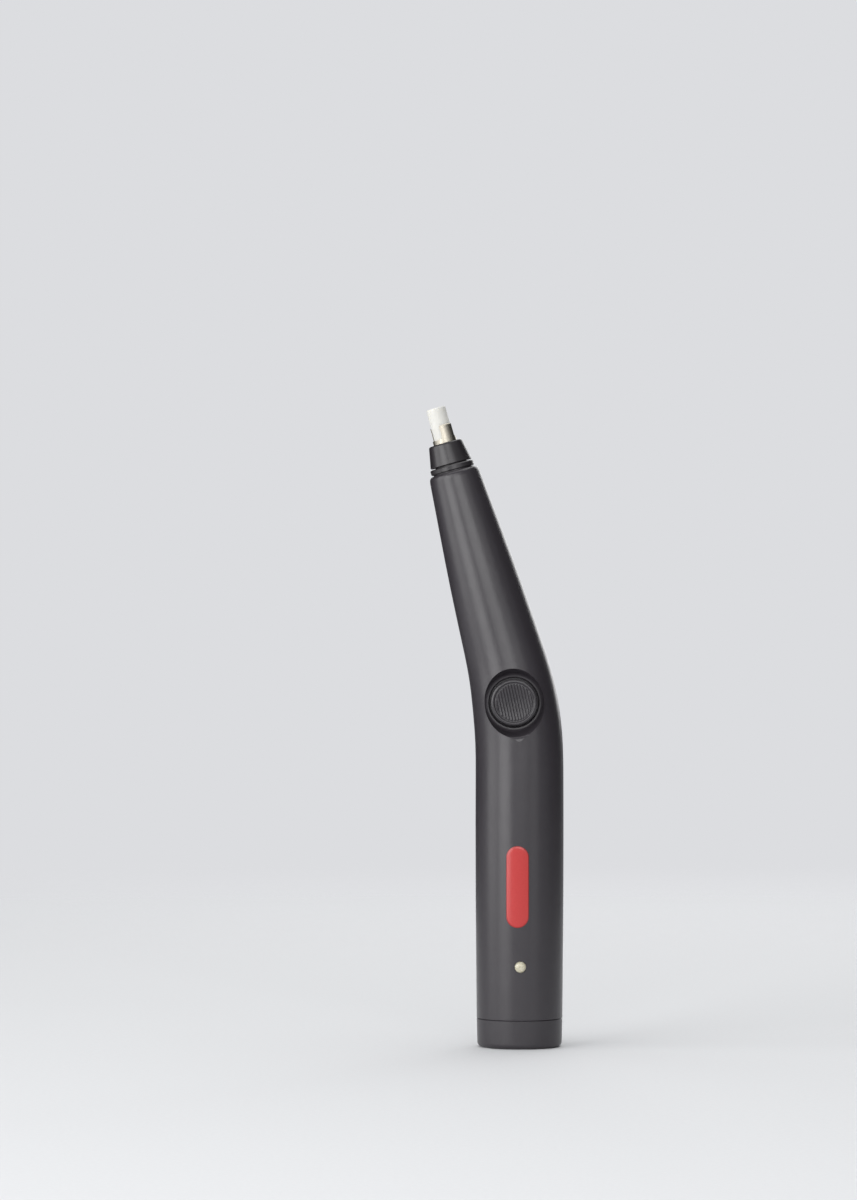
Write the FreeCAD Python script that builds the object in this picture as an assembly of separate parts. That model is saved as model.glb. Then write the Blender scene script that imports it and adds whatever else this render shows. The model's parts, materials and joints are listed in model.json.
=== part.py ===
# Rechargeable electric eraser for drawing work.
#
# A slim barrel in two moulded halves holds, from the foot up, a charging board with a USB socket and
# a charge light, a round lithium cell, a push switch under a round button at the bend, and a small
# motor that spins a split collet. The collet grips a stick of white eraser that sticks out of the nose.
#
# Frame: +Z up the grip's axis, origin at the middle of the flat foot, the button on the -Y side.
# The nose axis leaves the grip axis at the crossing and leans towards -X. All sizes in millimetres.
import FreeCAD
import Part
import math
import os

Vec = FreeCAD.Vector
X, Y, Z = Vec(1, 0, 0), Vec(0, 1, 0), Vec(0, 0, 1)
ORIGIN = Vec(0, 0, 0)

# ---------------------------------------------------------------- driving dimensions
WALL = 1.5            # case wall
SLIP = 0.05           # gap between pieces that push together
RUN = 0.03            # radial gap of what turns or slides in a bore
SEAM = 0.12           # visible gap along the parting line of the halves
LIP = 0.8             # height of the tongue along the parting line

BEND_ANGLE = 15.7     # lean of the nose axis
BEND_RADIUS = 100.0   # of the barrel's middle line

ERASER_R = 2.4
ERASER_LENGTH = 24.5
ERASER_REACH = 4.4    # eraser beyond the collet's jaws
ERASER_EDGE = 0.35    # rounding of its ends

COLLET_WALL = 0.47
JAW_REACH = 4.4       # jaws beyond the nose cap
JAW_LENGTH = 3.4
JAW_COUNT = 2
JAW_SLOT_W = 4.7      # between jaws
JAW_CORNER = 0.5      # rounding at the slots' feet
JAW_TURN = -153.0     # of the first slot about the nose axis, from its right

MOTOR_R = 6.0
MOTOR_LENGTH = 20.0
MOTOR_START = 12.6    # back of the motor, from the crossing of the axes
SHAFT_R = 0.75

CELL_R = 7.0
CELL_LENGTH = 43.0
CELL_SKIN = 0.12      # shrink sleeve round the cell

BUTTON_R = 5.65
BUTTON_SIDE = -0.35    # of the barrel's middle line, towards the inside of the bend
BUTTON_TRAVEL = 0.6
BUTTON_PROUD = 2.8    # above the floor of its dish
BUTTON_RIBS = 15
DISH_DEPTH = 3.6      # of the button's dish below the barrel's front
SPRING_WIRE_R = 0.22
SPRING_TURNS = 4

USB_W = 7.5
USB_H = 2.65
USB_DEPTH = 5.6

LENS_R = 1.38
LENS_Z = 20.0
LENS_PROUD = 0.35

CAP_HEIGHT = 7.0      # end cap, foot to seam
CAP_EDGE = 1.2        # rounding of the foot's rim
WIRE_R = 0.4

SCREW_SHANK_R = 0.85
SCREW_HEAD_R = 1.6
SCREW_HEAD_H = 1.1
SCREW_LENGTH = 7.0

# ---------------------------------------------------------------- nose stack, along the nose axis
BELL_T = 1.4
CAN_FROM = MOTOR_START + BELL_T
CAN_TO = CAN_FROM + MOTOR_LENGTH
CAN_BOSS_H = 1.2
HUB_FROM = CAN_TO + CAN_BOSS_H + 1.6
HUB_LENGTH = 7.4
COLLET_FROM = HUB_FROM + HUB_LENGTH
HUB_SPIGOT = 4.0
WASHER_FROM = COLLET_FROM + 5.4
WASHER_T = 0.6
BUSH_FROM = WASHER_FROM + WASHER_T + 0.2
BUSH_LENGTH = 6.6
BUSH_FLANGE_T = 0.9
BUSH_TO = BUSH_FROM + BUSH_LENGTH
SPIGOT_FROM = BUSH_TO + 0.6
FACE_AT = SPIGOT_FROM + 2.1        # front face of the case halves
GROOVE = 0.25                      # shadow gaps either side of the ring
RING_FROM = FACE_AT + GROOVE
RING_H = 1.3
NECK_TO = RING_FROM + RING_H
NOSE_CAP_FROM = NECK_TO + GROOVE
NOSE_CAP_H = 5.4
NOSE_CAP_TO = NOSE_CAP_FROM + NOSE_CAP_H
COLLET_TO = NOSE_CAP_TO + JAW_REACH
ERASER_TO = COLLET_TO + ERASER_REACH
ERASER_FROM = ERASER_TO - ERASER_LENGTH

# ---------------------------------------------------------------- nose radii, outwards from the eraser
COLLET_BORE_R = ERASER_R + RUN
COLLET_R = COLLET_BORE_R + COLLET_WALL
BUSH_WALL = 1.27
BUSH_BORE_R = COLLET_R + RUN
BUSH_R = BUSH_BORE_R + BUSH_WALL
BUSH_FLANGE_R = BUSH_R + 0.55
NOSE_BORE_R = COLLET_R + 0.4
SPIGOT_R = NOSE_BORE_R + 0.75
NECK_BORE_R = SPIGOT_R + SLIP
NECK_R = NECK_BORE_R + 0.8
RING_BORE_R = NECK_R + SLIP
RING_R = RING_BORE_R + 0.48
NOSE_CAP_R = RING_R - 0.25
NOSE_CAP_TOP_R = NOSE_BORE_R + 0.95
NOSE_CAP_ROUND = 0.55

# ---------------------------------------------------------------- grip stack, up the grip axis
CAP_FLOOR = 2.0
BOARD_FROM = CAP_FLOOR + 2.0
BOARD_LENGTH = 20.4
BOARD_T = 1.0
BOARD_W = 12.0
BOARD_TO = BOARD_FROM + BOARD_LENGTH
BOSS_R = 2.4
BOSS_FRONT_R = 2.0
LOW_BOSS_Z = BOARD_TO + BOSS_R + 0.4
CELL_FROM = LOW_BOSS_Z + BOSS_R + 0.4
CELL_TO = CELL_FROM + CELL_LENGTH
TAB_T = 0.15
TAB_W = 3.2
HIGH_BOSS_Z = CELL_TO + BOSS_R + 0.4
BUTTON_FLANGE_R = BUTTON_R + 1.1
BUTTON_Z = HIGH_BOSS_Z + BUTTON_FLANGE_R + 1.45
CROSSING_Z = BUTTON_Z - 1.3        # where the two axes meet
CASE_FOOT = CAP_HEIGHT + 0.06

# ---------------------------------------------------------------- barrel radii
WIRE_SPACE = 2.08                  # round the cell, for its ribs and the leads
MOTOR_SLEEVE = 0.5
MOTOR_GAP = 0.3
GRIP_R = CELL_R + CELL_SKIN + WIRE_SPACE + WALL
FOOT_R = GRIP_R - 0.25
ELBOW_R = GRIP_R - 0.22
MOTOR_FRONT_R = MOTOR_R + MOTOR_SLEEVE + MOTOR_GAP + WALL
SHOULDER_R = MOTOR_FRONT_R + 1.3
NOSE_R = RING_R + 0.7
NOSE_ROUND = 1.1

# ---------------------------------------------------------------- middle line of the barrel
BEND = math.radians(BEND_ANGLE)
TANGENT = BEND_RADIUS * math.tan(BEND / 2)
BEND_FROM = CROSSING_Z - TANGENT
BEND_TO = BEND_FROM + BEND_RADIUS * BEND
NOSE_SHIFT = BEND_TO - TANGENT     # travel along the middle line = distance on the nose axis + this
CROSSING = Vec(0, 0, CROSSING_Z)
NOSE_DIR = Vec(-math.sin(BEND), 0, math.cos(BEND))
NOSE_FRAME = FreeCAD.Placement(CROSSING, FreeCAD.Rotation(Y, -BEND_ANGLE))

BARREL = [
    (CASE_FOOT, FOOT_R),
    ((CASE_FOOT + BEND_FROM) / 2, GRIP_R),
    (BEND_FROM, GRIP_R),
    ((BEND_FROM + BEND_TO) / 2, ELBOW_R),
    (BEND_TO, SHOULDER_R),
    (NOSE_SHIFT + CAN_TO, MOTOR_FRONT_R),
    (NOSE_SHIFT + FACE_AT, NOSE_R),
]


SECTIONS = 25


def middle_line(t):
    """Placement on the barrel's middle line, its own Z along the line: straight, one arc, straight."""
    if t <= BEND_FROM:
        return FreeCAD.Placement(Vec(0, 0, t), FreeCAD.Rotation())
    if t < BEND_TO:
        turn = (t - BEND_FROM) / BEND_RADIUS
        at = Vec(BEND_RADIUS * (math.cos(turn) - 1), 0, BEND_FROM + BEND_RADIUS * math.sin(turn))
        return FreeCAD.Placement(at, FreeCAD.Rotation(Y, -math.degrees(turn)))
    return FreeCAD.Placement(CROSSING + NOSE_DIR * (t - NOSE_SHIFT), FreeCAD.Rotation(Y, -BEND_ANGLE))


def barrel_radius(t):
    """Outer radius at t: a smooth cubic through the named stations of BARREL."""
    slopes = []
    for i in range(len(BARREL)):
        a, b = BARREL[max(i - 1, 0)], BARREL[min(i + 1, len(BARREL) - 1)]
        slopes.append((b[1] - a[1]) / (b[0] - a[0]))
    t = min(max(t, BARREL[0][0]), BARREL[-1][0])
    k = max(i for i in range(len(BARREL) - 1) if t >= BARREL[i][0])
    (t0, r0), (t1, r1) = BARREL[k], BARREL[k + 1]
    u, h = (t - t0) / (t1 - t0), t1 - t0
    return (r0 * (1 + 2 * u) * (1 - u) ** 2 + h * slopes[k] * u * (1 - u) ** 2
            + r1 * u * u * (3 - 2 * u) + h * slopes[k + 1] * u * u * (u - 1))


def inside_wall(s):
    """Radius in the inner half of the wall at s on the nose axis, where inner pieces are joined on."""
    return barrel_radius(NOSE_SHIFT + s) - 0.75 * WALL


def stations():
    """Evenly spaced places along the middle line for the barrel's sections."""
    start, stop = BARREL[0][0], BARREL[-1][0]
    return [start + (stop - start) * i / (SECTIONS - 1) for i in range(SECTIONS)]


# ---------------------------------------------------------------- shape helpers
def on_nose(shape):
    """A shape drawn with its Z along the nose axis from the crossing, put in place."""
    return shape.transformed(NOSE_FRAME.toMatrix(), True)


def rod(radius, low, high, x=0.0, y=0.0):
    return Part.makeCylinder(radius, high - low, Vec(x, y, low), Z)


def tube(radius, bore, low, high):
    return rod(radius, low, high).cut(rod(bore, low - 1, high + 1))


def block(x0, x1, y0, y1, z0, z1):
    return Part.makeBox(x1 - x0, y1 - y0, z1 - z0, Vec(x0, y0, z0))


def peg(radius, x, z, y0, y1):
    """A round bar along Y from y0 to y1."""
    return Part.makeCylinder(radius, y1 - y0, Vec(x, y0, z), Y)


def round_corner(cx, cz, radius, start, stop):
    """(middle, end) of an arc about (cx, cz), as turned() takes it. Angles in degrees from +r."""
    def at(degrees):
        a = math.radians(degrees)
        return (cx + radius * math.cos(a), cz + radius * math.sin(a))
    return (at((start + stop) / 2), at(stop))


def profile(*steps):
    """Closed wire in the XZ plane. A step is a point, or a (middle, end) pair for an arc."""
    edges = []
    first = last = Vec(steps[0][0], 0, steps[0][1])
    for step in steps[1:]:
        if isinstance(step[0], tuple):
            middle, end = (Vec(p[0], 0, p[1]) for p in step)
            edges.append(Part.Arc(last, middle, end).toShape())
        else:
            end = Vec(step[0], 0, step[1])
            edges.append(Part.makeLine(last, end))
        last = end
    if last.distanceToPoint(first) > 1e-6:
        edges.append(Part.makeLine(last, first))
    return Part.Wire(edges)


def turned(*steps):
    """Solid of revolution about Z of a profile of (r, z) steps."""
    return Part.Face(profile(*steps)).revolve(ORIGIN, Z, 360)


def button_axis(shape):
    """A turned shape whose own Z becomes +Y, into the barrel, through the button's middle."""
    frame = FreeCAD.Placement(Vec(BUTTON_X, 0, BUTTON_Z), FreeCAD.Rotation(X, -90))
    return shape.transformed(frame.toMatrix(), True)


def lead(points, radius, corner):
    """A wire's copper and skin in one: straight runs joined by tangent arcs of one radius."""
    edges, last = [], points[0]
    for before, at, after in zip(points, points[1:], points[2:]):
        back, on = (before - at).normalize(), (after - at).normalize()
        turn = math.pi - back.getAngle(on)
        cut = corner * math.tan(turn / 2)
        a, b = at + back * cut, at + on * cut
        middle_dir = (back + on).normalize()
        middle = at + middle_dir * (corner / math.cos(turn / 2) - corner)
        edges += [Part.makeLine(last, a), Part.Arc(a, middle, b).toShape()]
        last = b
    edges.append(Part.makeLine(last, points[-1]))
    ring = Part.Wire([Part.makeCircle(radius, points[0], points[1] - points[0])])
    return Part.Wire(edges).makePipeShell([ring], True, False)


def solids(*shapes):
    return Part.makeCompound([s for shape in shapes for s in shape.Solids])


BUTTON_X = middle_line(BUTTON_Z).Base.x + BUTTON_SIDE


# ---------------------------------------------------------------- barrel lofts
def loft(section):
    """Solid through section(radius) at every station of the barrel."""
    wires = []
    for t in stations():
        wire = section(barrel_radius(t))
        wire.Placement = middle_line(t)
        wires.append(wire)
    return Part.makeLoft(wires, True, False)


def core():
    """The barrel to the middle of its wall: ribs and bosses are cut to it, then joined to the wall."""
    return loft(lambda r: Part.Wire([Part.makeCircle(r - WALL / 2)]))


def arc_edge(radius, x, y, side):
    """Half-round edge from (x, y) over the side's crown to (-x, y)."""
    return Part.Arc(Vec(x, y, 0), Vec(0, side * radius, 0), Vec(-x, y, 0)).toShape()


def rear_section(r):
    """Rear half's wall: outer half stops at the seam, inner half is the tongue past it."""
    mid, inner, gap = r - WALL / 2, r - WALL, SEAM / 2
    out_x = math.sqrt(r * r - gap * gap)
    steps = [(-out_x, gap), (-mid, gap), (-mid, -LIP), (-inner, -LIP), (-inner, 0)]
    left = [Vec(x, y, 0) for x, y in steps]
    right = [Vec(-x, y, 0) for x, y in reversed(steps)]
    edges = [arc_edge(r, out_x, gap, 1)]
    edges += [Part.makeLine(a, b) for a, b in zip(left, left[1:])]
    edges += [Part.Arc(left[-1], Vec(0, inner, 0), right[0]).toShape()]
    edges += [Part.makeLine(a, b) for a, b in zip(right, right[1:])]
    return Part.Wire(edges)


def front_section(r):
    """Front half's wall: its inner half is cut back for the tongue."""
    step_x, inner, gap, depth = r - WALL / 2 + SLIP, r - WALL, SEAM / 2, LIP + SLIP
    out_x = math.sqrt(r * r - gap * gap)
    in_x = math.sqrt(inner * inner - depth * depth)
    steps = [(-out_x, -gap), (-step_x, -gap), (-step_x, -depth), (-in_x, -depth)]
    left = [Vec(x, y, 0) for x, y in steps]
    right = [Vec(-x, y, 0) for x, y in reversed(steps)]
    edges = [arc_edge(r, out_x, -gap, -1)]
    edges += [Part.makeLine(a, b) for a, b in zip(left, left[1:])]
    edges += [Part.Arc(left[-1], Vec(0, -inner, 0), right[0]).toShape()]
    edges += [Part.makeLine(a, b) for a, b in zip(right, right[1:])]
    return Part.Wire(edges)


# ---------------------------------------------------------------- places inside the case
FAR = 3 * GRIP_R                     # past any wall
RIB_T = 1.5
BOSS_X = FOOT_R - WALL - BOSS_R - 0.65
BOSSES = [(x, z) for z in (LOW_BOSS_Z, HIGH_BOSS_Z) for x in (-BOSS_X, BOSS_X)]
SCREW_SEAT_Y = 2.6                   # under the screw heads
CELL_RIBS = [CELL_FROM + 5.0, CELL_TO - 5.0 - RIB_T]
MOTOR_RIBS = [CAN_FROM + 2.5, CAN_TO - 2.5 - RIB_T]
SLEEVE_R = MOTOR_R + MOTOR_SLEEVE
BOARD_BACK_Y = -USB_H / 2
BOARD_FRONT_Y = BOARD_BACK_Y - BOARD_T
BOARD_RIBS = [BOARD_FROM + 7.4, BOARD_TO - 3.4]
BOARD_RIB_X = BOARD_W / 2 - 1.4
WIRE_X = 0.9
WIRE_Y = FOOT_R - WALL - WIRE_R - 0.2
RIB_FRONT_Y = -(LIP + 0.1)           # front ribs stop here, clear of the tongue
SPLIT_Y = 0.04                       # the halves' bosses meet here
SHOULDER_CROSSING = 12.0             # degrees between the rounding and the surfaces it joins
DISH_END = 6.0                       # degrees between the dish's roll and the barrel's front

# The button sits in a dish: a flat round floor whose wall curves up, then rolls over into the barrel.
HOLE_R = BUTTON_R + 0.3
DISH_R = HOLE_R + 0.4
DISH_Y = -(ELBOW_R - DISH_DEPTH)
DISH_TOP_Y = -(ELBOW_R + 0.14)       # just outside the barrel all round, so the roll meets it at an edge
DISH_FOOT = 1.0                      # radius of the curve from floor to wall
DISH_ROLL = 1.0                      # radius of the curve from wall to barrel
DISH_SLOPE = 68.0                    # of the wall, from the floor
DISH_FLOOR_T = 1.2
FLANGE_Y = DISH_Y + DISH_FLOOR_T + SLIP
FLANGE_T = 0.8
BUTTON_TOP_Y = DISH_Y - BUTTON_PROUD
STEM_H = 0.75
PLUNGER_R = 1.6
PLUNGER_PROUD = 0.8
SWITCH_W = 6.0
SWITCH_H = 3.2
SWITCH_Y = FLANGE_Y + FLANGE_T + STEM_H + PLUNGER_PROUD
SWITCH_BOARD_Y = SWITCH_Y + SWITCH_H
SWITCH_BOARD_T = 1.0
SWITCH_BOARD_W = 11.6
SWITCH_BOARD_FROM = HIGH_BOSS_Z + BOSS_R + 0.15
SWITCH_BOARD_TO = BUTTON_Z + 6.4
SWITCH_RIB_X = 5.0


def half_block(side):
    """Half space, on that side of the parting plane, that a half's ribs may fill."""
    y = (SPLIT_Y, FAR) if side > 0 else (-FAR, RIB_FRONT_Y)
    return block(-FAR - FAR, FAR, y[0], y[1], 0, CROSSING_Z + FACE_AT + FAR)


def nose_block():
    """Seat for the bush, a bulkhead, and the neck that the nose ring and nose cap plug on and into."""
    start, ledge, back = BUSH_FROM + BUSH_FLANGE_T + SLIP, BUSH_TO + SLIP, SPIGOT_FROM - SLIP
    step = FACE_AT - 0.4
    return on_nose(turned((BUSH_R + SLIP, start), (inside_wall(start), start), (inside_wall(step), step),
                          (NECK_R, step), (NECK_R, NECK_TO), (NECK_BORE_R, NECK_TO), (NECK_BORE_R, back),
                          (NOSE_BORE_R, back), (NOSE_BORE_R, ledge), (BUSH_R + SLIP, ledge)))


def ribs(side, inside):
    """Rings round the cell and the motor, and the block at the nose."""
    rings = [tube(FAR, CELL_R + CELL_SKIN + SLIP, z, z + RIB_T) for z in CELL_RIBS]
    rings += [on_nose(tube(FAR, SLEEVE_R + SLIP, s, s + RIB_T)) for s in MOTOR_RIBS]
    rings = [ring.common(inside) for ring in rings] + [nose_block()]
    return [ring.common(half_block(side)) for ring in rings]


def shoulder_cutter():
    """Rounds the edge of the barrel's front face. It meets both surfaces at a small angle."""
    a, cross, reach = math.radians(SHOULDER_CROSSING), 1.0, 0.35
    drop = NOSE_ROUND * math.cos(a)
    cx, cz = NOSE_R - drop, FACE_AT - drop
    arc = round_corner(cx, cz, NOSE_ROUND, SHOULDER_CROSSING, 90 - SHOULDER_CROSSING)
    start = (cx + NOSE_ROUND * math.cos(a), cz + NOSE_ROUND * math.sin(a))
    low = (start[0] + cross * math.sin(a), start[1] - cross * math.cos(a))
    high = (arc[1][0] - reach * math.cos(a), arc[1][1] + reach * math.sin(a))
    return on_nose(turned(low, start, arc, high, (low[0], high[1])))


def dish():
    """The hollow round the button: floor, curve, steep wall, and a roll that nearly meets the barrel."""
    slope, end = math.radians(DISH_SLOPE), math.radians(DISH_END)
    foot = round_corner(DISH_R, DISH_Y - DISH_FOOT, DISH_FOOT, 90, 90 - DISH_SLOPE)
    (x0, y0), rise = foot[1], DISH_ROLL * (math.cos(end) - math.cos(slope))
    wall = DISH_TOP_Y + rise - y0
    x1, y1 = x0 - wall / math.tan(slope), y0 + wall
    cx, cy = x1 + DISH_ROLL * math.sin(slope), y1 + DISH_ROLL * math.cos(slope)
    roll = round_corner(cx, cy, DISH_ROLL, 270 - DISH_SLOPE, 270 - DISH_END)
    out = roll[1]
    edge = (out[0] + 1.0, out[1] - math.tan(end))
    return button_axis(turned((0, DISH_Y), (DISH_R, DISH_Y), foot, (x1, y1), roll, edge, (edge[0], -FAR), (0, -FAR)))


# ---------------------------------------------------------------- case
def front_shell(inside):
    """Front half: dish and hole for the button, hole for the charge light, bosses for the screws."""
    shell = loft(front_section)
    pad = peg(DISH_R + DISH_FOOT + DISH_ROLL, BUTTON_X, BUTTON_Z, -FAR, DISH_Y + DISH_FLOOR_T)
    guide_r = BUTTON_FLANGE_R + SLIP
    guide = peg(guide_r + 0.9, BUTTON_X, BUTTON_Z, DISH_Y, FLANGE_Y + FLANGE_T + BUTTON_TRAVEL + 0.2)
    added = ribs(-1, inside) + [pad.common(inside), guide.common(inside)]
    for x, z in BOSSES:
        added.append(peg(BOSS_FRONT_R, x, z, -FAR, SPLIT_Y).common(inside))
    for z in BOARD_RIBS:
        for x in (-BOARD_RIB_X, BOARD_RIB_X):
            post = block(x - 0.6, x + 0.6, -FAR, BOARD_FRONT_Y - SLIP, z, z + RIB_T)
            added.append(post.common(inside))
    shell = shell.fuse(added)
    chamfer = turned((0, DISH_Y - 0.1), (HOLE_R + 0.3, DISH_Y - 0.1), (HOLE_R + 0.3, DISH_Y),
                     (HOLE_R, DISH_Y + 0.3), (0, DISH_Y + 0.3))
    cutters = [dish(), button_axis(chamfer), shoulder_cutter()]
    cutters.append(peg(HOLE_R, BUTTON_X, BUTTON_Z, -FAR, DISH_Y + DISH_FLOOR_T + 1))
    cutters.append(peg(guide_r, BUTTON_X, BUTTON_Z, DISH_Y + DISH_FLOOR_T, 0))
    cutters.append(peg(LENS_R + SLIP, 0, LENS_Z, -FAR, BOARD_FRONT_Y))
    for x, z in BOSSES:
        cutters.append(peg(SCREW_SHANK_R + 0.02, x, z, SCREW_SEAT_Y - SCREW_LENGTH - 0.4, 0.5))
    return shell.cut(cutters)


def rear_shell(inside):
    """Rear half: screw wells, posts behind both boards, and a channel through its ribs for the leads."""
    shell = loft(rear_section)
    rings = ribs(1, inside)
    wire_slot = block(-WIRE_X - 0.9, WIRE_X + 0.9, CELL_R, WIRE_Y + WIRE_R + 0.15,
                      LOW_BOSS_Z, HIGH_BOSS_Z)
    added = [ring.cut(wire_slot) for ring in rings]
    for x, z in BOSSES:
        added.append(peg(BOSS_R, x, z, SPLIT_Y, FAR).common(inside))
    for z in BOARD_RIBS:
        for x in (-BOARD_RIB_X, BOARD_RIB_X):
            post = block(x - 0.6, x + 0.6, BOARD_BACK_Y + SLIP, FAR, z, z + RIB_T)
            added.append(post.common(inside))
    for z in (SWITCH_BOARD_FROM + 0.3, SWITCH_BOARD_TO - 0.3 - RIB_T):
        for x in (BUTTON_X - SWITCH_RIB_X, BUTTON_X + SWITCH_RIB_X):
            back = SWITCH_BOARD_Y + SWITCH_BOARD_T + SLIP
            added.append(block(x - 0.7, x + 0.7, back, FAR, z, z + RIB_T).common(inside))
    shell = shell.fuse(added)
    cutters = [shoulder_cutter()]
    for x, z in BOSSES:
        cutters.append(peg(SCREW_SHANK_R + 0.15, x, z, -LIP, FAR))
        cutters.append(peg(SCREW_HEAD_R + 0.15, x, z, SCREW_SEAT_Y, FAR))
    return shell.cut(cutters)


def end_cap():
    """Foot of the barrel: a cup with a flat base, a spigot into the halves and a slot for the plug."""
    top_r = FOOT_R - 0.02
    base_r = FOOT_R - 0.15
    cup = turned((0, 0), (base_r - CAP_EDGE, 0), round_corner(base_r - CAP_EDGE, CAP_EDGE, CAP_EDGE, -90, 0),
                 (top_r, CAP_HEIGHT - 0.2), (top_r - 0.2, CAP_HEIGHT), (0, CAP_HEIGHT))
    spigot_r = FOOT_R - WALL - SLIP
    cup = cup.fuse(turned((0, CAP_HEIGHT - 1), (spigot_r, CAP_HEIGHT - 1), (spigot_r, CAP_HEIGHT + 3.0),
                          (spigot_r - 0.4, CAP_HEIGHT + 3.6), (0, CAP_HEIGHT + 3.6)))
    cup = cup.cut(rod(spigot_r - 1.0, CAP_FLOOR, CAP_HEIGHT + 4))
    slot_w, slot_h = USB_W + 1.3, USB_H + 1.2
    slot = block(-slot_w / 2, slot_w / 2, -slot_h / 2, slot_h / 2, -1, CAP_FLOOR + 1)
    slot = slot.makeFillet(1.2, [e for e in slot.Edges if abs(e.tangentAt(e.FirstParameter).z) > 0.9])
    return cup.cut(slot).removeSplitter()


def nose_ring():
    edge = 0.2
    return on_nose(turned((RING_BORE_R, RING_FROM), (RING_R - edge, RING_FROM), (RING_R, RING_FROM + edge),
                          (RING_R, RING_FROM + RING_H - edge), (RING_R - edge, RING_FROM + RING_H),
                          (RING_BORE_R, RING_FROM + RING_H)))


def nose_cap():
    """Tapered cap round the collet, its spigot in the neck of the halves."""
    top, edge = NOSE_CAP_TO, NOSE_CAP_ROUND
    lean = math.degrees(math.atan2(NOSE_CAP_R - NOSE_CAP_TOP_R, NOSE_CAP_H))
    corner = round_corner(NOSE_CAP_TOP_R - edge, top - edge, edge, lean, 90)
    a = math.radians(lean)
    shoulder = (NOSE_CAP_TOP_R - edge + edge * math.cos(a), top - edge + edge * math.sin(a))
    return on_nose(turned((NOSE_BORE_R, SPIGOT_FROM), (SPIGOT_R, SPIGOT_FROM), (SPIGOT_R, NOSE_CAP_FROM),
                          (NOSE_CAP_R - 0.2, NOSE_CAP_FROM), (NOSE_CAP_R, NOSE_CAP_FROM + 0.2),
                          shoulder, corner, (NOSE_BORE_R + 0.25, top), (NOSE_BORE_R, top - 0.25)))


def case_screws():
    """Four pan-head thread-forming screws with cross recesses, driven from the rear."""
    made = []
    for x, z in BOSSES:
        seat = SCREW_SEAT_Y
        shank = peg(SCREW_SHANK_R, x, z, seat - SCREW_LENGTH, seat)
        head = peg(SCREW_HEAD_R, x, z, seat, seat + SCREW_HEAD_H)
        rim = [e for e in head.Edges if abs(e.BoundBox.YMin - seat - SCREW_HEAD_H) < 1e-6
               and abs(e.BoundBox.YMax - seat - SCREW_HEAD_H) < 1e-6]
        head = head.makeFillet(0.4, rim)
        deep, long, thin = 0.6, 0.95, 0.2
        y0, y1 = seat + SCREW_HEAD_H - deep, seat + SCREW_HEAD_H + 1
        cross = block(x - long, x + long, y0, y1, z - thin, z + thin).fuse(
            block(x - thin, x + thin, y0, y1, z - long, z + long))
        made.append(shank.fuse(head).cut(cross))
    return solids(*made)


# ---------------------------------------------------------------- button and switch
def push_button():
    """Round button with a rolled rim, a shallow dished top and fine straight ribs across it."""
    top, rim = BUTTON_TOP_Y, 0.55
    skirt = FLANGE_Y + FLANGE_T
    dished = 0.3
    body = turned((0, top + dished), (BUTTON_R - 1.0, top + dished), (BUTTON_R - rim - 0.15, top),
                  ((BUTTON_R - rim * 0.25, top + rim * 0.25), (BUTTON_R, top + rim)),
                  (BUTTON_R, FLANGE_Y), (BUTTON_FLANGE_R, FLANGE_Y),
                  (BUTTON_FLANGE_R, skirt), (PLUNGER_R, skirt), (PLUNGER_R, skirt + STEM_H),
                  (0, skirt + STEM_H))
    reach = BUTTON_R - 1.15
    pitch = 2 * reach / BUTTON_RIBS
    bars = []
    for i in range(BUTTON_RIBS):
        x = -reach + (i + 0.5) * pitch
        half = math.sqrt(reach * reach - x * x)
        bars.append(block(x - pitch * 0.28, x + pitch * 0.28, -half, half, top + 0.12, top + dished + 0.05))
    body = body.fuse(bars)
    body.rotate(ORIGIN, Z, BEND_ANGLE / 2)
    return button_axis(body)


def button_spring():
    """Return spring: a wire coil round the switch, between the button's flange and the switch board."""
    wire_r, coil_r = SPRING_WIRE_R, SWITCH_W * math.sqrt(0.5) + SPRING_WIRE_R + 0.5
    low, high = FLANGE_Y + FLANGE_T + wire_r + SLIP, SWITCH_BOARD_Y - wire_r - SLIP
    pitch = (high - low) / SPRING_TURNS
    slope = math.atan2(pitch, 2 * math.pi * coil_r)
    ring = Part.Wire([Part.makeCircle(wire_r, Vec(coil_r, 0, 0), Vec(0, math.cos(slope), math.sin(slope)))])
    coil = Part.Wire(Part.makeHelix(pitch, high - low, coil_r)).makePipeShell([ring], True, True)
    coil.translate(Vec(0, 0, low))
    return button_axis(coil)


def switch_plunger():
    inside = 1.2
    return peg(PLUNGER_R - SLIP, BUTTON_X, BUTTON_Z, SWITCH_Y - PLUNGER_PROUD, SWITCH_Y + inside)


def switch_body():
    half = SWITCH_W / 2
    body = block(BUTTON_X - half, BUTTON_X + half, SWITCH_Y, SWITCH_BOARD_Y, BUTTON_Z - half, BUTTON_Z + half)
    return body.cut(peg(PLUNGER_R, BUTTON_X, BUTTON_Z, SWITCH_Y - 1, SWITCH_BOARD_Y - 0.5))


def switch_board():
    half = SWITCH_BOARD_W / 2
    return block(BUTTON_X - half, BUTTON_X + half, SWITCH_BOARD_Y, SWITCH_BOARD_Y + SWITCH_BOARD_T,
                 SWITCH_BOARD_FROM, SWITCH_BOARD_TO)


# ---------------------------------------------------------------- charging board
def control_board():
    board = block(-BOARD_W / 2, BOARD_W / 2, BOARD_FRONT_Y, BOARD_BACK_Y, BOARD_FROM, BOARD_TO)
    corners = [e for e in board.Edges if abs(e.tangentAt(e.FirstParameter).y) > 0.9]
    return board.makeFillet(0.8, corners)


USB_FROM = 1.2
USB_SKIN = 0.25


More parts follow.
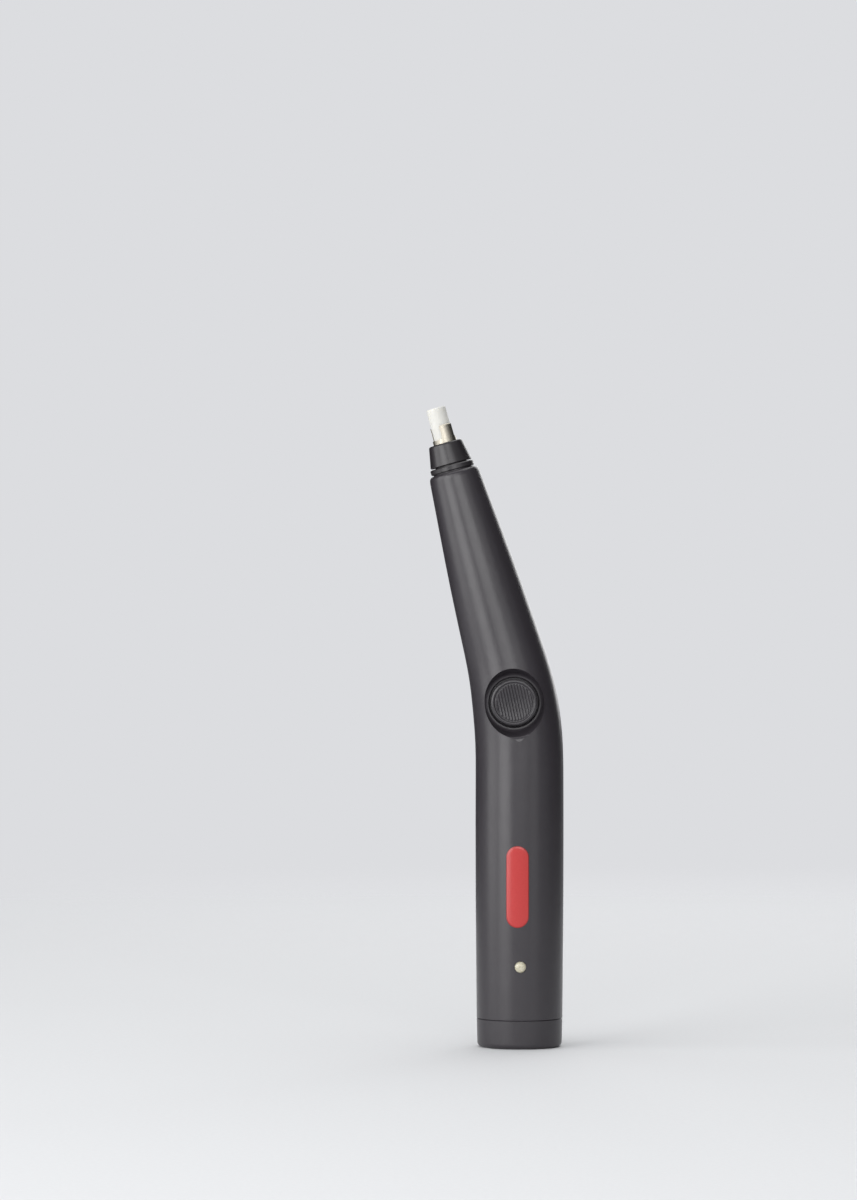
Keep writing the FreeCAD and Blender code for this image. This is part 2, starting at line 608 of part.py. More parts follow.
def usb_outline(shrink):
    """Socket section: flat top, two slanting lower corners, narrower side to the front."""
    w, h = USB_W / 2 - shrink, USB_H / 2 - shrink
    corner = 0.9
    points = [(-w, h), (w, h), (w, -h + corner * 1.2), (w - corner, -h), (-w + corner, -h), (-w, -h + corner * 1.2)]
    vertices = [Vec(x, y, USB_FROM) for x, y in points]
    return Part.Face(Part.makePolygon(vertices + vertices[:1]))


def usb_shell():
    """Folded steel shell of the socket, open towards the foot."""
    shell = usb_outline(0).extrude(Z * USB_DEPTH)
    return shell.cut(usb_outline(USB_SKIN).extrude(Z * (USB_DEPTH - USB_SKIN)))


def usb_tongue():
    """Plastic tongue in the socket, on a block at the back of the shell."""
    back = USB_FROM + USB_DEPTH - USB_SKIN
    tongue = block(-1.9, 1.9, 0.1, 0.7, USB_FROM + 0.9, back)
    root = usb_outline(USB_SKIN).extrude(Z * 1.0)
    root.translate(Z * (back - 1.0 - USB_FROM))
    return tongue.fuse(root).removeSplitter()


def usb_contacts():
    """Five gilt contact strips under the tongue."""
    pitch, thick = 0.65, 0.08
    strips = []
    for i in range(-2, 3):
        x = i * pitch
        strips.append(block(x - 0.16, x + 0.16, 0.1 - thick, 0.1, USB_FROM + 1.2, USB_FROM + USB_DEPTH - 1.4))
    return solids(*strips)


def board_parts():
    """Charge controller and protection chips, an inductor and small passives on the board's front."""
    front = BOARD_FRONT_Y
    low = BOARD_FROM
    sizes = [(-1.4, low + 6.6, 4.0, 3.9, 1.4), (2.4, low + 5.4, 2.8, 2.9, 1.1), (-3.6, low + 11.6, 2.0, 1.2, 0.6),
             (3.4, low + 10.6, 2.0, 1.2, 0.6), (3.4, low + 13.0, 2.0, 1.2, 0.6), (-2.2, low + 18.6, 1.6, 0.8, 0.5)]
    return solids(*[block(x - w / 2, x + w / 2, front - tall, front, z - d / 2, z + d / 2)
                    for x, z, w, d, tall in sizes])


LED_H = 0.9


def charge_light():
    """Surface-mount light behind the lens."""
    return block(-1.6, 1.6, BOARD_FRONT_Y - LED_H, BOARD_FRONT_Y, LENS_Z - 0.8, LENS_Z + 0.8)


def lens():
    """Clear light guide from the light to the barrel's skin, with a domed end and a collar inside."""
    skin = barrel_radius(LENS_Z)
    out = -(skin + LENS_PROUD)
    rim = -(skin - 0.25)
    crown = LENS_R * 0.62
    collar = -(skin - WALL - 0.35)
    inner = BOARD_FRONT_Y - LED_H - 0.2
    body = turned((0, out), ((crown, (out * 2 + rim) / 3 - 0.1), (LENS_R, rim)), (LENS_R, collar),
                  (LENS_R + 0.7, collar), (LENS_R + 0.7, collar + 0.8), (LENS_R, collar + 0.8), (LENS_R, inner), (0, inner))
    frame = FreeCAD.Placement(Vec(0, 0, LENS_Z), FreeCAD.Rotation(X, -90))
    return body.transformed(frame.toMatrix(), True)


# ---------------------------------------------------------------- label
LABEL_X = -0.7
LABEL_Z = 39.4
LABEL_W = 5.6
LABEL_LENGTH = 19.8
LABEL_T = 0.12
LABEL_GLUE = 0.02
LABEL_STEPS = 6


def grip_label():
    """Plain film label with round ends, bent to the grip and glued on."""
    low, high = LABEL_Z - LABEL_LENGTH / 2 - 1, LABEL_Z + LABEL_LENGTH / 2 + 1
    heights = [low + (high - low) * i / LABEL_STEPS for i in range(LABEL_STEPS + 1)]
    skin = [(barrel_radius(z) + LABEL_GLUE, z) for z in heights]
    film = turned(*skin, *[(r + LABEL_T, z) for r, z in reversed(skin)])
    half, middle = LABEL_W / 2, (LABEL_LENGTH - LABEL_W) / 2
    blank = block(LABEL_X - half, LABEL_X + half, -FAR, 0, LABEL_Z - middle, LABEL_Z + middle)
    ends = [peg(half, LABEL_X, LABEL_Z + side * middle, -FAR, 0) for side in (-1, 1)]
    return film.common(blank.fuse(ends).removeSplitter())


# ---------------------------------------------------------------- cell
def cell():
    """Round lithium cell: steel can, a crimp below the top and a raised terminal."""
    low, high, r = CELL_FROM + TAB_T, CELL_TO - TAB_T, CELL_R
    knob_h = 0.9
    shoulder = high - knob_h
    return turned((0, low), (r - 0.4, low), (r, low + 0.4), (r, shoulder - 3.2), (r - 0.5, shoulder - 2.8),
                  (r - 0.5, shoulder - 2.4), (r, shoulder - 2.0), (r, shoulder - 0.3), (r - 0.3, shoulder),
                  (2.6, shoulder), (2.6, high), (0, high))


def cell_sleeve():
    """Shrink sleeve round the cell, turned in over both ends."""
    low, high, r = CELL_FROM + TAB_T + 0.4, CELL_TO - TAB_T - 1.2, CELL_R
    return tube(r + CELL_SKIN, r, low, high)


def cell_tabs():
    """Nickel strips welded across both ends of the cell, reaching nearly to its rear edge."""
    return solids(*[block(-TAB_W / 2, TAB_W / 2, -2.4, CELL_R - 0.3, low, low + TAB_T)
                    for low in (CELL_FROM, CELL_TO - TAB_T)])


def board_leads():
    """Red and black pair from the charging board, behind the cell, to the switch board."""
    made = []
    back = SWITCH_BOARD_Y + SWITCH_BOARD_T
    for x in (-WIRE_X, WIRE_X):
        start_z, end_z = BOARD_TO - 2.0, SWITCH_BOARD_FROM + 2.6
        made.append(lead([Vec(x, BOARD_BACK_Y, start_z), Vec(x, WIRE_Y, start_z), Vec(x, WIRE_Y, end_z),
                          Vec(x, back, end_z)], WIRE_R, 1.6))
    return solids(*made)


def motor_leads():
    """Pair from the switch board to the motor's terminals."""
    made = []
    back = SWITCH_BOARD_Y + SWITCH_BOARD_T
    for side in (-1, 1):
        tag = NOSE_FRAME.multVec(Vec(side * TERMINAL_X, TERMINAL_Y, MOTOR_START - TERMINAL_H))
        below = NOSE_FRAME.multVec(Vec(side * TERMINAL_X, TERMINAL_Y, MOTOR_START - TERMINAL_H - 3.4))
        made.append(lead([Vec(below.x, back, below.z), below, tag], WIRE_R, 1.2))
    return solids(*made)


# ---------------------------------------------------------------- motor, drawn along the nose axis
TERMINAL_X = 2.3
TERMINAL_Y = 3.6
TERMINAL_H = 2.2
CAN_T = 0.6
MAGNET_T = 0.9
ROTOR_GAP = 0.3
ROTOR_R = MOTOR_R - CAN_T - MAGNET_T - ROTOR_GAP
ROTOR_FROM = CAN_FROM + 6.2
ROTOR_TO = CAN_TO - 3.0
POLES = 3


def motor_can():
    """Drawn steel can, its front closed with a boss for the shaft."""
    can = turned((0, CAN_FROM), (MOTOR_R, CAN_FROM), (MOTOR_R, CAN_TO - 0.5),
                 round_corner(MOTOR_R - 0.5, CAN_TO - 0.5, 0.5, 0, 90), (2.2, CAN_TO),
                 (2.2, CAN_TO + CAN_BOSS_H), (0, CAN_TO + CAN_BOSS_H))
    can = can.cut(rod(MOTOR_R - CAN_T, CAN_FROM - 1, CAN_TO - CAN_T))
    return on_nose(can.cut(rod(SHAFT_R + RUN, CAN_FROM, CAN_TO + 5)))


def motor_bell():
    """Plastic end bell with the rear bearing."""
    bell = rod(MOTOR_R, MOTOR_START, CAN_FROM).fuse(rod(MOTOR_R - CAN_T - SLIP, CAN_FROM - 0.5, CAN_FROM + 1.2))
    return on_nose(bell.cut(rod(SHAFT_R + RUN, MOTOR_START + 0.4, CAN_FROM + 3)).removeSplitter())


def motor_terminals():
    tags = []
    for side in (-1, 1):
        x = side * TERMINAL_X
        tags.append(block(x - 0.7, x + 0.7, TERMINAL_Y - 0.15, TERMINAL_Y + 0.15, MOTOR_START - TERMINAL_H, MOTOR_START))
    return on_nose(solids(*tags))


def motor_magnets():
    """Two arc magnets against the can."""
    ring = tube(MOTOR_R - CAN_T, MOTOR_R - CAN_T - MAGNET_T, ROTOR_FROM - 0.5, ROTOR_TO + 0.5)
    gap = block(-1.6, 1.6, -FAR, FAR, CAN_FROM, CAN_TO)
    return on_nose(solids(ring.cut(gap)))


def motor_brushes():
    """Two brush arms that bear on the commutator."""
    z, near, thick = CAN_FROM + 3.4, COMMUTATOR_R + RUN, 0.5
    arms = [block(x, x + thick, -0.7, MOTOR_R - 2.6, z - 0.7, z + 0.7) for x in (near, -near - thick)]
    return on_nose(solids(*arms))


def motor_sleeve():
    """Soft sleeve that keeps the motor's hum out of the case."""
    return on_nose(tube(SLEEVE_R, MOTOR_R, CAN_FROM + 0.6, CAN_TO - 0.6))


def bush():
    """Flanged bronze bush that carries the collet."""
    return on_nose(turned((BUSH_BORE_R, BUSH_FROM), (BUSH_FLANGE_R, BUSH_FROM),
                          (BUSH_FLANGE_R, BUSH_FROM + BUSH_FLANGE_T), (BUSH_R, BUSH_FROM + BUSH_FLANGE_T),
                          (BUSH_R, BUSH_TO), (BUSH_BORE_R, BUSH_TO)))


# ---------------------------------------------------------------- what spins
COMMUTATOR_R = 1.9
SHAFT_FROM = MOTOR_START + 0.6
SHAFT_IN_HUB = 6.0


def motor_shaft():
    return on_nose(rod(SHAFT_R, SHAFT_FROM, HUB_FROM + SHAFT_IN_HUB))


def rotor_core():
    """Stack of iron laminations with three poles."""
    hub_r, arm_w, shoe_t = 1.7, 1.5, 0.8
    pieces = [tube(hub_r, SHAFT_R, ROTOR_FROM, ROTOR_TO)]
    ring = tube(ROTOR_R, ROTOR_R - shoe_t, ROTOR_FROM, ROTOR_TO)
    for i in range(POLES):
        turn = i * 360.0 / POLES
        arm = block(hub_r - 0.4, ROTOR_R - shoe_t / 2, -arm_w / 2, arm_w / 2, ROTOR_FROM, ROTOR_TO)
        wedge = Part.makeCylinder(FAR, ROTOR_TO - ROTOR_FROM, Vec(0, 0, ROTOR_FROM), Z, 96)
        wedge.rotate(ORIGIN, Z, -48)
        pole = arm.fuse(ring.common(wedge))
        pole.rotate(ORIGIN, Z, turn)
        pieces.append(pole)
    return on_nose(pieces[0].fuse(pieces[1:]).removeSplitter())


def windings():
    """Copper coils, one round each pole."""
    made = []
    over = 0.9
    for i in range(POLES):
        coil = block(2.0, ROTOR_R - 1.15, -1.35, 1.35, ROTOR_FROM - over, ROTOR_TO + over)
        coil = coil.cut(block(1.0, ROTOR_R, -0.78, 0.78, ROTOR_FROM - 0.02, ROTOR_TO + 0.02))
        coil.rotate(ORIGIN, Z, i * 360.0 / POLES)
        made.append(coil)
    return on_nose(solids(*made))


def commutator():
    """Ring of three copper bars on the shaft."""
    ring = tube(COMMUTATOR_R, SHAFT_R, CAN_FROM + 2.0, CAN_FROM + 5.0)
    slots = []
    for i in range(POLES):
        slot = block(1.2, 3, -0.1, 0.1, CAN_FROM + 1, CAN_FROM + 4.4)
        slot.rotate(ORIGIN, Z, 60 + i * 360.0 / POLES)
        slots.append(slot)
    return on_nose(ring.cut(slots))


def drive_hub():
    """Brass hub pressed on the shaft, with a spigot inside the collet."""
    hub = turned((0, HUB_FROM), (COLLET_R - 0.3, HUB_FROM), (COLLET_R, HUB_FROM + 0.3), (COLLET_R, COLLET_FROM),
                 (COLLET_BORE_R, COLLET_FROM), (COLLET_BORE_R, COLLET_FROM + HUB_SPIGOT), (0, COLLET_FROM + HUB_SPIGOT))
    return on_nose(hub.cut(rod(SHAFT_R, HUB_FROM - 1, HUB_FROM + SHAFT_IN_HUB)))


def collet():
    """Bright tube whose end is cut into two jaws that grip the eraser."""
    lip = 0.18
    body = turned((COLLET_BORE_R, COLLET_FROM), (COLLET_R, COLLET_FROM), (COLLET_R, COLLET_TO - lip),
                  (COLLET_R - lip, COLLET_TO), (COLLET_BORE_R, COLLET_TO))
    foot = COLLET_TO - JAW_LENGTH
    slots = []
    for i in range(JAW_COUNT):
        slot = block(0, 2 * COLLET_R, -JAW_SLOT_W / 2, JAW_SLOT_W / 2, foot, COLLET_TO + 1)
        corners = [e for e in slot.Edges if e.BoundBox.ZMax < foot + 1e-6 and e.BoundBox.XLength > COLLET_R]
        slot = slot.makeFillet(JAW_CORNER, corners)
        slot.rotate(ORIGIN, Z, JAW_TURN + i * 360.0 / JAW_COUNT)
        slots.append(slot)
    return on_nose(body.cut(slots))


def thrust_washer():
    return on_nose(tube(COLLET_R + 1.1, COLLET_R, WASHER_FROM, WASHER_FROM + WASHER_T))


def eraser():
    """Stick of white vinyl with both ends rounded over."""
    low, high, r, e = ERASER_FROM, ERASER_TO, ERASER_R, ERASER_EDGE
    return on_nose(turned((0, low), (r - e, low), round_corner(r - e, low + e, e, -90, 0), (r, high - e),
                          round_corner(r - e, high - e, e, 0, 90), (0, high)))


# ---------------------------------------------------------------- write every piece
def main():
    inside = core()
    pieces = {
        "front_shell": front_shell(inside), "rear_shell": rear_shell(inside), "end_cap": end_cap(),
        "nose_ring": nose_ring(), "nose_cap": nose_cap(), "case_screws": case_screws(),
        "push_button": push_button(), "button_spring": button_spring(), "switch_plunger": switch_plunger(),
        "switch_body": switch_body(), "switch_board": switch_board(), "control_board": control_board(),
        "usb_shell": usb_shell(), "usb_tongue": usb_tongue(), "usb_contacts": usb_contacts(),
        "board_parts": board_parts(), "charge_light": charge_light(), "light_lens": lens(),
        "grip_label": grip_label(),
        "cell": cell(), "cell_sleeve": cell_sleeve(), "cell_tabs": cell_tabs(),
        "board_leads": board_leads(), "motor_leads": motor_leads(),
        "motor_can": motor_can(), "motor_bell": motor_bell(), "motor_terminals": motor_terminals(),
        "motor_magnets": motor_magnets(), "motor_brushes": motor_brushes(), "motor_sleeve": motor_sleeve(),
        "front_bush": bush(), "motor_shaft": motor_shaft(), "rotor_core": rotor_core(),
        "rotor_windings": windings(), "commutator": commutator(), "drive_hub": drive_hub(),
        "collet": collet(), "thrust_washer": thrust_washer(), "eraser_stick": eraser(),
    }
    os.makedirs("parts", exist_ok=True)
    for name, shape in pieces.items():
        faults = [] if shape.isValid() else ["not valid"]
        if not shape.Solids:
            faults.append("no solid")
        print("%-16s %2d solid  %9.2f mm3 %s" % (name, len(shape.Solids), shape.Volume, " ".join(faults)))
        shape.exportStep(os.path.join("parts", name + ".step"))
    print("crossing z %.3f  nose front %.3f  eraser tip %.3f" % (CROSSING_Z, FACE_AT, ERASER_TO))


main()
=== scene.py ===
import json
import math

import bpy
import numpy as np
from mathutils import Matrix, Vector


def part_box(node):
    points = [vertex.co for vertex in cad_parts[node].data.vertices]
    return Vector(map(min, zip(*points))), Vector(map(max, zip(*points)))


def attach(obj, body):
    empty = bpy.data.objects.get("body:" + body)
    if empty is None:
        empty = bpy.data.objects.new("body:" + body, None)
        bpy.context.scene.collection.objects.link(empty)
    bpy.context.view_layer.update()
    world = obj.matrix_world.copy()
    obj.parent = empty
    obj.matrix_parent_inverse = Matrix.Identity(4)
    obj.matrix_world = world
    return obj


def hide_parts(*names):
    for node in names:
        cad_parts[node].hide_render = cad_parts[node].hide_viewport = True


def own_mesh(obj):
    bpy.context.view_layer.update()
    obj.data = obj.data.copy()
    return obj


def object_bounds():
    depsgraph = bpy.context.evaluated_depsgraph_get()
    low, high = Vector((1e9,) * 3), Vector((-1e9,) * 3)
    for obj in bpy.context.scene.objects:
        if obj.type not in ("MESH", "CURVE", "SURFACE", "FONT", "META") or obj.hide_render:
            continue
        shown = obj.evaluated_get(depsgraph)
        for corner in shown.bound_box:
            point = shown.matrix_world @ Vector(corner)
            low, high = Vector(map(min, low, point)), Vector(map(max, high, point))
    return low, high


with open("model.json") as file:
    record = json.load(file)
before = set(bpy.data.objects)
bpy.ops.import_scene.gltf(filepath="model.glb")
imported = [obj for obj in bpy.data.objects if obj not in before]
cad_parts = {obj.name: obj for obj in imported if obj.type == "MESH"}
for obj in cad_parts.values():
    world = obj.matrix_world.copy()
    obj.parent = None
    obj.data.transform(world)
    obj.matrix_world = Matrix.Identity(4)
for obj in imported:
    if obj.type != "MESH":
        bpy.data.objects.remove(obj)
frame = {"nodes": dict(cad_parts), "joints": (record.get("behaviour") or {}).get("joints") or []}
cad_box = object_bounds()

# ---------------------------------------------------------------- barrel halves
# The front and rear halves of the barrel, injection moulded in charcoal ABS and screwed together from the
# rear. The mould is spark eroded, which gives the skin an even satin, with broad soft highlights, in a
# slightly violet grey. The real grain is under 0.1 mm, and is drawn at 0.3 mm so that it shows.


def tone(code):
    """sRGB hex to linear RGBA: c becomes c / 12.92 up to 0.04045, else ((c + 0.055) / 1.055) ^ 2.4."""
    c = np.array([int(code[i:i + 2], 16) for i in (1, 3, 5)]) / 255
    c = np.where(c <= 0.04045, c / 12.92, ((c + 0.055) / 1.055) ** 2.4)
    return (*c.tolist(), 1.0)


def add(tree, kind, settings=None, links=None):
    """Adds one node: settings are its properties, or its sockets by name or number; links feed sockets."""
    node = tree.nodes.new(kind)
    for key, value in (settings or {}).items():
        if isinstance(key, str) and hasattr(node, key):
            setattr(node, key, value)
        else:
            node.inputs[key].default_value = value
    for key, output in (links or {}).items():
        tree.links.new(output, node.inputs[key])
    return node


def new_material(name):
    """An empty material and its node tree."""
    material = bpy.data.materials.new(name)
    material.use_nodes = True
    material.node_tree.nodes.clear()
    return material, material.node_tree


def moulded(name, dark, light, rough, grain_mm=0.3, depth_mm=0.004, cloud_mm=9.0, worn_mm=2.5):
    """Moulded plastic: two close tones in clouds, roughness that wanders by 0.04, and the mould's grain."""
    material, tree = new_material(name)
    place = add(tree, "ShaderNodeTexCoord").outputs["Object"]
    cloud = add(tree, "ShaderNodeTexNoise", {"Scale": 1000 / cloud_mm, "Detail": 3.0}, {"Vector": place})
    colour = add(tree, "ShaderNodeMix", {"data_type": "RGBA", 6: tone(dark), 7: tone(light)},
                 {0: cloud.outputs["Fac"]})
    worn = add(tree, "ShaderNodeTexNoise", {"Scale": 1000 / worn_mm, "Detail": 4.0}, {"Vector": place})
    sheen = add(tree, "ShaderNodeMapRange", {3: rough - 0.04, 4: rough + 0.04}, {0: worn.outputs["Fac"]})
    grain = add(tree, "ShaderNodeTexNoise", {"Scale": 1000 / grain_mm, "Detail": 2.0, "Roughness": 0.6},
                {"Vector": place})
    bump = add(tree, "ShaderNodeBump", {"Strength": 1.0, "Distance": depth_mm / 1000},
               {"Height": grain.outputs["Fac"]})
    shader = add(tree, "ShaderNodeBsdfPrincipled", {"IOR": 1.53, "Specular IOR Level": 0.5},
                 {"Base Color": colour.outputs[2], "Roughness": sheen.outputs[0], "Normal": bump.outputs[0]})
    add(tree, "ShaderNodeOutputMaterial", {}, {"Surface": shader.outputs[0]})
    return material


def dress(material, *names):
    """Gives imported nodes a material."""
    for name in names:
        data = frame["nodes"][name].data
        data.materials.clear()
        data.materials.append(material)


case_abs = moulded("satin_charcoal_abs", "#302d31", "#353236", 0.31)
dress(case_abs, "front_shell", "rear_shell")

# ---------------------------------------------------------------- end cap
# A separate cup of the same ABS, pushed into the foot of the barrel. It comes from another mould, whose
# texture is a little coarser, so it reads as its own piece beside the seam.
cap_abs = moulded("end_cap_abs", "#2f2c30", "#343135", 0.36, grain_mm=0.35, depth_mm=0.006, cloud_mm=6.0)
dress(cap_abs, "end_cap")

# ---------------------------------------------------------------- nose ring and nose cap
# Glass-filled nylon, which is stiffer where the collet runs. It is nearly black, in faint clouds 3 mm
# across, and as satin as the barrel but with a finer grain.
nose_nylon = moulded("nose_nylon", "#242224", "#2c292c", 0.30, grain_mm=0.25, depth_mm=0.003, cloud_mm=3.0)
dress(nose_nylon, "nose_ring", "nose_cap")

# ---------------------------------------------------------------- push button
# A round ABS button with a rolled rim. Its dished face has straight ribs for the thumb, nearly along the
# nose, drawn 0.70 mm apart, a little coarser than the real ones, so that they show. Its skirt, flange and
# stem are those of the solid it stands for, so it fits its guide and switch.
FACE_R = 5.65             # mm, as are all sizes of the button
RIM_ROLL = 0.55           # rounding of the rim's outer edge
RIM_INNER_R = 0.28        # and of its inner edge
DISH = 0.34               # face below the rim
DISH_R = 4.62
DISH_EDGE = 0.2           # rounding where the dish meets the rim
BOWL = 0.25               # further fall of the dish at its middle
RIB_PITCH = 0.70
RIB_HEIGHT = 0.20
RIB_ZONE = 4.55           # radius that the ribs reach
RIB_FADE = 0.3            # over which they run out
RIB_LEAN = math.radians(12)
FLANGE_R = 6.75
FLANGE_EDGE = 0.12
STEM_R = 1.6


def full_turn(count):
    """Angles of count even steps round a circle."""
    return np.radians(np.arange(count) * 360 / count)


def closed_rings(rings):
    """Points and faces of stacked closed rings (ring, place, xyz), with a fan to each end ring's middle."""
    count, around = rings.shape[:2]
    points = np.vstack([rings.reshape(-1, 3), rings[0].mean(0), rings[-1].mean(0)])
    i, j = np.meshgrid(np.arange(count - 1), np.arange(around), indexing="ij")
    a, b = i * around + j, i * around + (j + 1) % around
    quads = np.stack([a, b, b + around, a + around], -1).reshape(-1, 4)
    k = np.arange(around)
    low = np.stack([(k + 1) % around, k, np.full(around, count * around)], -1)
    high = np.stack([k, (k + 1) % around, np.full(around, 1)], -1) + (count - 1) * around
    high[:, 2] = count * around + 1
    return points, [*quads.tolist(), *low.tolist(), *high.tolist()]


def piece(name, points, faces, body, material, sharp=35.0):
    """A mesh object in metres from points in metres, turned to face outwards by the sign of its volume."""
    p = np.asarray(points, float)
    tri = np.array([f[:3] for f in faces] + [[f[0], f[2], f[3]] for f in faces if len(f) == 4])
    volume = np.einsum("ij,ij->i", p[tri[:, 0]], np.cross(p[tri[:, 1]], p[tri[:, 2]])).sum()
    if volume < 0:
        faces = [f[::-1] for f in faces]
    mesh = bpy.data.meshes.new(name)
    mesh.from_pydata(p.tolist(), [], faces)
    mesh.shade_smooth()
    mesh.set_sharp_from_angle(angle=math.radians(sharp))
    mesh.materials.append(material)
    made = bpy.data.objects.new(name, mesh)
    bpy.context.scene.collection.objects.link(made)
    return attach(made, body)


def bow(cx, cy, radius, start, stop, count):
    """Points of an arc in the (r, depth) plane; angles in degrees from +r towards +depth."""
    a = np.radians(np.linspace(start, stop, count))
    return np.stack([cx + radius * np.cos(a), cy + radius * np.sin(a)], -1)


low, high = (np.array(v) * 1000 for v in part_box("push_button"))
button_mid = (low + high) / 2
stem_low = high[1] - low[1]
flange_low = stem_low - 0.75
flange_top = stem_low - 1.55
face_steps = np.linspace(0.06, DISH_R, 77)
outline = np.vstack([
    np.stack([face_steps, np.full(len(face_steps), DISH)], -1),
    bow(DISH_R, DISH - DISH_EDGE, DISH_EDGE, 90, 35, 5),
    bow(5.08, RIM_INNER_R, RIM_INNER_R, 215, 270, 5),
    bow(FACE_R - RIM_ROLL, RIM_ROLL, RIM_ROLL, 272, 360, 12),
    [(FACE_R, flange_top - 0.02), (FACE_R, flange_top)],
    bow(FLANGE_R - FLANGE_EDGE, flange_top + FLANGE_EDGE, FLANGE_EDGE, 270, 360, 4),
    bow(FLANGE_R - FLANGE_EDGE, flange_low - FLANGE_EDGE, FLANGE_EDGE, 0, 90, 4),
    [(STEM_R, flange_low), (STEM_R, stem_low), (0.3, stem_low)],
])
turn = full_turn(384)
r, depth = outline[:, 0][:, None], outline[:, 1][:, None]
across, along = r * np.cos(turn), r * np.sin(turn)
over = across * math.cos(RIB_LEAN) + along * math.sin(RIB_LEAN)
wave = (0.5 + 0.5 * np.cos(2 * np.pi * over / RIB_PITCH)) ** 0.8
fade = np.clip((RIB_ZONE - r) / RIB_FADE, 0, 1)
on_face = depth < 1
rib = RIB_HEIGHT * wave * fade * fade * (3 - 2 * fade) * on_face
bowl = BOWL * (1 - np.clip(r / RIB_ZONE, 0, 1) ** 2) * on_face
rings = np.stack([button_mid[0] + across, low[1] + depth - rib + bowl, button_mid[2] + along], -1)
button_abs = moulded("button_abs", "#2c2a2d", "#312e32", 0.24, grain_mm=0.2, depth_mm=0.002, cloud_mm=4.0)
button = piece("thumb_button", *closed_rings(rings / 1000), "button", button_abs)
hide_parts("push_button")

# ---------------------------------------------------------------- charge light
# A turned rod of milky polycarbonate carries the light of a small diode out to its end in the barrel's
# front. Unlit, it is cream, soft at the edge, and glossy.
material, tree = new_material("milky_polycarbonate")
place = add(tree, "ShaderNodeTexCoord").outputs["Object"]
haze = add(tree, "ShaderNodeTexNoise", {"Scale": 1000 / 0.8, "Detail": 3.0}, {"Vector": place})
colour = add(tree, "ShaderNodeMix", {"data_type": "RGBA", 6: tone("#b3ae98"), 7: tone("#cbc6b2")},
             {0: haze.outputs["Fac"]})
shader = add(tree, "ShaderNodeBsdfPrincipled",
             {"IOR": 1.58, "Roughness": 0.22, "Subsurface Weight": 0.35, "Subsurface Radius": (1.0, 0.9, 0.7),
              "Subsurface Scale": 0.0006}, {"Base Color": colour.outputs[2]})
add(tree, "ShaderNodeOutputMaterial", {}, {"Surface": shader.outputs[0]})
dress(material, "light_lens")
dress(moulded("diode_package", "#d9d4c4", "#e8e4d6", 0.3, cloud_mm=0.6), "charge_light")

# ---------------------------------------------------------------- grip label
# A plain red label, screen printed on thin film under a clear coat and stuck on the grip. It is bent to the
# barrel, with its edge rolled down to the skin, and its red is darkened with painted shade along that edge.
LABEL_X, LABEL_Z = -0.7, 39.4          # mm, as are all sizes of the label
LABEL_HALF_W, LABEL_HALF_L = 2.8, 9.9
LABEL_T = 0.14
LABEL_SUNK = 0.05         # of the label's lower face in the barrel's skin
ROLL_FROM = 0.9           # share of the half width where the edge starts to roll down
END_SQUARE = 6            # how soon the straight sides give way to the round ends


def skin_radius(z):
    """Barrel radius at height z mm on the front, from the front half itself."""
    hit, point, *_ = frame["nodes"]["front_shell"].ray_cast((LABEL_X / 1000, -0.05, z / 1000), (0, 1, 0))
    return math.hypot(point.x, point.y) * 1000


straight = LABEL_HALF_L - LABEL_HALF_W
heights = np.linspace(LABEL_Z - LABEL_HALF_L, LABEL_Z + LABEL_HALF_L, 9)
skin = np.polyfit(heights - LABEL_Z, [skin_radius(z) for z in heights], 3)
step = np.array([0.04, *np.linspace(0.1, ROLL_FROM, 17), 0.93, 0.96, 0.98, 0.995, 1.0, 1.0])
rolled = np.clip((step - ROLL_FROM) / (1 - ROLL_FROM), 0, 1)
rise = LABEL_T * np.sqrt(np.clip(1 - rolled ** 2, 0, 1))
rise[-1] = -LABEL_SUNK
turn = full_turn(160)
side = np.cos(turn) * LABEL_HALF_W
upward = np.sin(turn) * LABEL_HALF_W + np.clip(np.sin(turn) * END_SQUARE, -1, 1) * straight
a, b = step[:, None] * side, step[:, None] * upward
radius = np.polyval(skin, b) + rise[:, None]
lean = (a + LABEL_X) / radius
rings = np.stack([radius * np.sin(lean), -radius * np.cos(lean), LABEL_Z + b], -1)
material, tree = new_material("printed_label")
inset = add(tree, "ShaderNodeAttribute", {"attribute_name": "inset"}).outputs["Fac"]
place = add(tree, "ShaderNodeTexCoord").outputs["Object"]
ink = add(tree, "ShaderNodeTexNoise", {"Scale": 1000 / 0.35, "Detail": 2.0}, {"Vector": place})
red = add(tree, "ShaderNodeMix", {"data_type": "RGBA", 6: tone("#ac2322"), 7: tone("#b72d2b")},
          {0: ink.outputs["Fac"]})
# Painted shade: the red darkens to #8e1c1b within 0.3 mm of the label's edge, and is fully dark within 0.12
# mm.
edge_shade_mask = add(tree, "ShaderNodeMapRange", {1: 0.12, 2: 0.3, 3: 1.0, 4: 0.0}, {0: inset})
shade_painted_red = add(tree, "ShaderNodeMix", {"data_type": "RGBA", 7: tone("#8e1c1b")},
            {0: edge_shade_mask.outputs[0], 6: red.outputs[2]})
shader = add(tree, "ShaderNodeBsdfPrincipled",
             {"IOR": 1.5, "Roughness": 0.35, "Coat Weight": 0.3, "Coat Roughness": 0.12},
             {"Base Color": shade_painted_red.outputs[2]})
add(tree, "ShaderNodeOutputMaterial", {}, {"Surface": shader.outputs[0]})
points, faces = closed_rings(rings / 1000)
label = piece("red_label", points, faces, "housing", material, sharp=60)
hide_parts("grip_label")
core = np.clip(np.abs(b) - straight, 0, None)
inset_mm = np.append((LABEL_HALF_W - np.hypot(a, core)).ravel(), [LABEL_HALF_W, -1.0])
label.data.attributes.new("inset", "FLOAT", "POINT").data.foreach_set("value", inset_mm.astype(np.float32))

